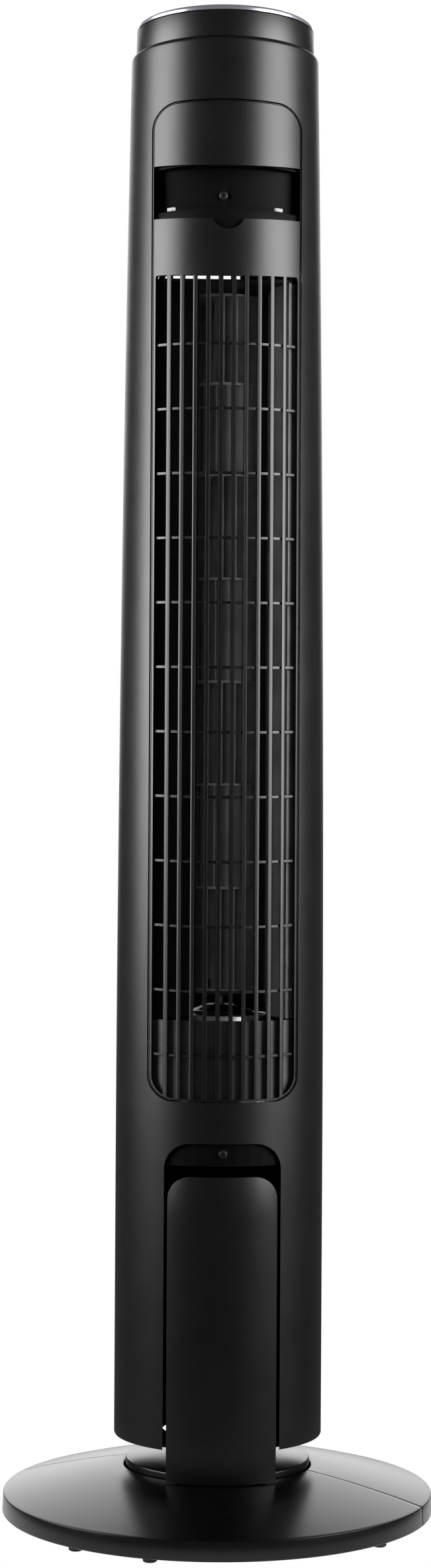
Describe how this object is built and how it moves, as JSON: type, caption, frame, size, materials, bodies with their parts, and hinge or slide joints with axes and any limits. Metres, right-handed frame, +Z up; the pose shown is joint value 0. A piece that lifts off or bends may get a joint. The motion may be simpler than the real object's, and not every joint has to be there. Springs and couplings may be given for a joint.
{
  "type": "tower fan",
  "caption": "Slim oscillating tower fan with a slotted air outlet, a remote holder, top buttons and a round two-piece base.",
  "frame": {"origin": "bottom centre of the base, at floor level", "axes": "+Z up along the tower, -Y towards the front air outlet, +X to the viewer's right when facing the front"},
  "size_m": [0.305, 0.305, 1.056],
  "materials": {
    "satin_black": "satin black moulded plastic with a fine texture",
    "gloss_black": "glossy black",
    "dark_plastic": "matt dark grey plastic",
    "light_pad": "light grey soft pad",
    "silver_trim": "metallised silver plastic",
    "steel": "plain zinc-plated steel",
    "black_screw": "screw steel with a black finish",
    "bright_metal": "bright plated metal",
    "rubber_black": "black rubber",
    "white_pom": "white low-friction plastic",
    "board_green": "circuit board",
    "display_lens": "smoked display window"
  },
  "bodies": {
    "base": {"base_rear_half": "satin_black", "base_front_half": "satin_black", "cord_inlet_gland": "rubber_black", "base_weight_plate": "steel", "rubber_foot_1": "rubber_black", "rubber_foot_2": "rubber_black", "rubber_foot_3": "rubber_black", "rubber_foot_4": "rubber_black", "rubber_foot_5": "rubber_black", "rubber_foot_6": "rubber_black", "swivel_hub": "dark_plastic", "swivel_bearing_ring": "white_pom", "swing_motor": "steel", "base_screw_1": "steel", "base_screw_2": "steel", "base_screw_3": "steel", "base_screw_4": "steel"},
    "tower": {"swing_gear": "white_pom", "turntable_disc": "satin_black", "swivel_retaining_ring": "steel", "neck_column": "dark_plastic", "neck_front_panel": "satin_black", "front_housing": "satin_black", "rear_housing": "satin_black", "housing_bottom_cover": "dark_plastic", "arch_inner_band": "dark_plastic", "arch_screw": "black_screw", "front_insert": "satin_black", "upper_insert_panel": "satin_black", "outlet_backing_panel": "satin_black", "remote_pocket": "dark_plastic", "pocket_screw": "black_screw", "remote_pad_left": "light_pad", "remote_pad_right": "light_pad", "duct_scroll_wall": "dark_plastic", "duct_tongue_wall": "dark_plastic", "duct_ceiling": "dark_plastic", "impeller_top_bearing": "rubber_black", "rear_intake_grille": "satin_black", "motor_can": "steel", "motor_end_shield": "bright_metal", "motor_bracket": "steel", "motor_capacitor": "white_pom", "top_cap": "satin_black", "trim_ring": "silver_trim", "control_panel": "gloss_black", "display_lens": "display_lens", "control_board": "board_green"},
    "impeller_rotor": {"impeller": "dark_plastic", "motor_shaft": "bright_metal"},
    "drive_pinion": {"swing_pinion": "white_pom"},
    "button_1": {"button_1": "gloss_black"},
    "button_2": {"button_2": "gloss_black"},
    "button_3": {"button_3": "gloss_black"},
    "button_4": {"button_4": "gloss_black"},
    "button_5": {"button_5": "gloss_black"}
  },
  "joints": [
    {"name": "oscillation", "type": "hinge", "parent": "base", "child": "tower", "pos_m": [0, 0, 0.0372], "axis": [0, 0, 1], "range_deg": [-40, 40]},
    {"name": "impeller_spin", "type": "hinge", "parent": "tower", "child": "impeller_rotor", "pos_m": [0, 0.008, 0.37], "axis": [0, 0, 1], "continuous": true},
    {"name": "pinion_spin", "type": "hinge", "parent": "base", "child": "drive_pinion", "pos_m": [0, 0.036, 0.0333], "axis": [0, 0, 1], "range_deg": [-165, 165]},
    {"name": "button_1_press", "type": "slide", "parent": "tower", "child": "button_1", "axis": [0, 0, -1], "range_m": [0, 0.001], "stiffness_N_per_m": 400},
    {"name": "button_2_press", "type": "slide", "parent": "tower", "child": "button_2", "axis": [0, 0, -1], "range_m": [0, 0.001], "stiffness_N_per_m": 400},
    {"name": "button_3_press", "type": "slide", "parent": "tower", "child": "button_3", "axis": [0, 0, -1], "range_m": [0, 0.001], "stiffness_N_per_m": 400},
    {"name": "button_4_press", "type": "slide", "parent": "tower", "child": "button_4", "axis": [0, 0, -1], "range_m": [0, 0.001], "stiffness_N_per_m": 400},
    {"name": "button_5_press", "type": "slide", "parent": "tower", "child": "button_5", "axis": [0, 0, -1], "range_m": [0, 0.001], "stiffness_N_per_m": 400}
  ],
  "couplings": [
    {"joint": "pinion_spin", "follows": "oscillation", "ratio": -4}
  ]
}
